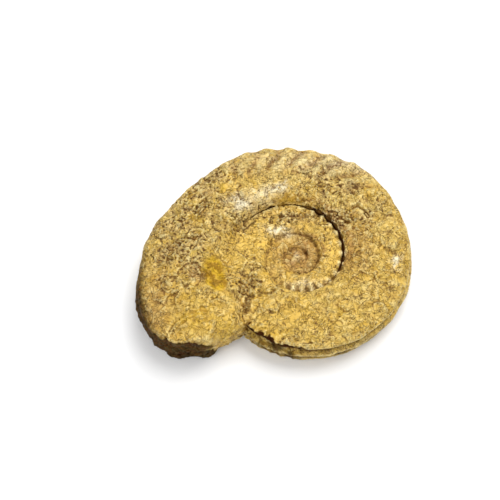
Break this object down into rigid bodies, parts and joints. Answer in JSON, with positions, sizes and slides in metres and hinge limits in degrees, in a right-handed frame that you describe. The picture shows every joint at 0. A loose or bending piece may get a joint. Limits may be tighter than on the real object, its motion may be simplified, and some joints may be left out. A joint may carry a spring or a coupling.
{
  "type": "ammonite fossil",
  "caption": "Flat-coiled fossil ammonite in ochre limestone, with a ribbed outer whorl, a grooved keel and a broken aperture, lying on its side.",
  "frame": {"origin": "middle of the fossil's bounding box, on the plane that it rests on", "axes": "+Z is the coil's axis, up from the resting side; +X runs along the fossil's longest extent, away from the broken aperture's side; the aperture opens towards -Y"},
  "size_m": [0.0984, 0.0808, 0.0194],
  "materials": {
    "limestone": "satin"
  },
  "bodies": {
    "root": {"ammonite": "limestone"}
  },
  "joints": []
}
